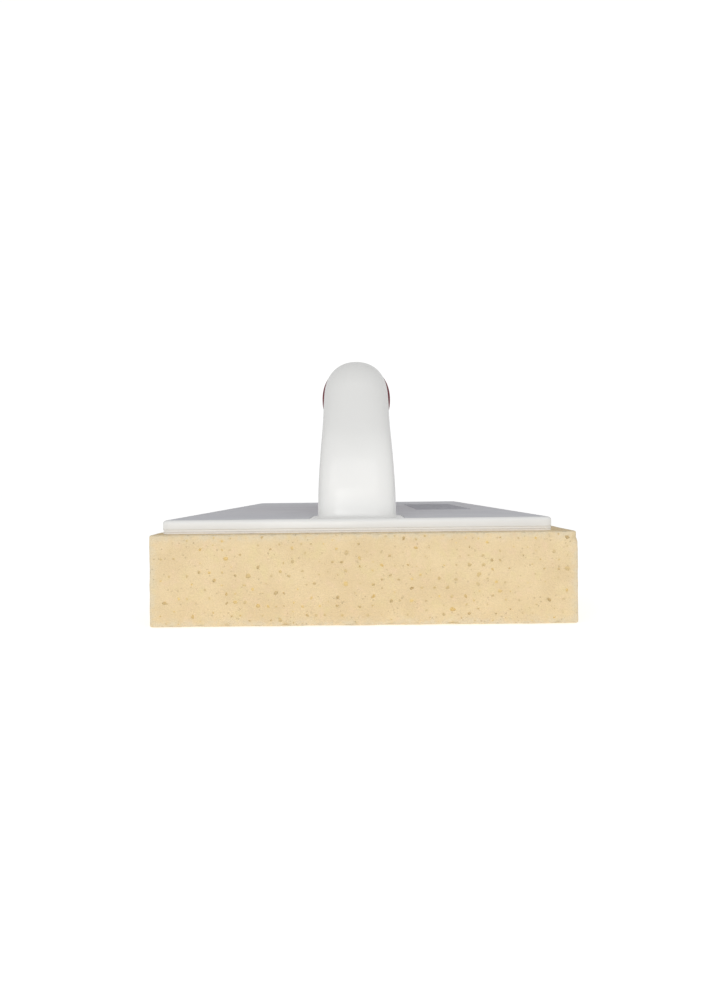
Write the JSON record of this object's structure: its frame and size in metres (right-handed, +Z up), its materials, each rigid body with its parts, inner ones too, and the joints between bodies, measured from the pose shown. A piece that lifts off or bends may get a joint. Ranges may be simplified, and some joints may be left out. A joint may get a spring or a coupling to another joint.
{
  "type": "sponge grout float",
  "caption": "Hand float for washing tile grout: a thick sponge pad on a hook-and-loop base plate under a closed arch handle with a soft grip.",
  "frame": {"origin": "centre of the sponge pad's working face, which is the bottom of the whole tool", "axes": "+Z up from the working face to the handle, +Y along the float from front to rear, +X to the right seen from the front"},
  "size_m": [0.14, 0.28, 0.0964],
  "materials": {
    "sponge": "matte",
    "loop_fabric": "matte",
    "hook_plastic": "matte",
    "white_plastic": "gloss",
    "grey_plastic": "satin",
    "red_grip": "matte",
    "steel": "satin"
  },
  "bodies": {
    "pad": {"sponge_pad": "sponge", "loop_backing": "loop_fabric"},
    "tool": {"hook_sheet": "hook_plastic", "base_plate": "white_plastic", "deck_panel": "grey_plastic", "handle_shell": "white_plastic", "handle_liner": "white_plastic", "grip_sleeve": "red_grip", "front_foot_screws": "steel", "rear_foot_screws": "steel"}
  },
  "joints": [
    {"name": "pad_release", "type": "slide", "parent": "pad", "child": "tool", "axis": [0, 0, 1], "range_m": [0, 0.04]}
  ]
}
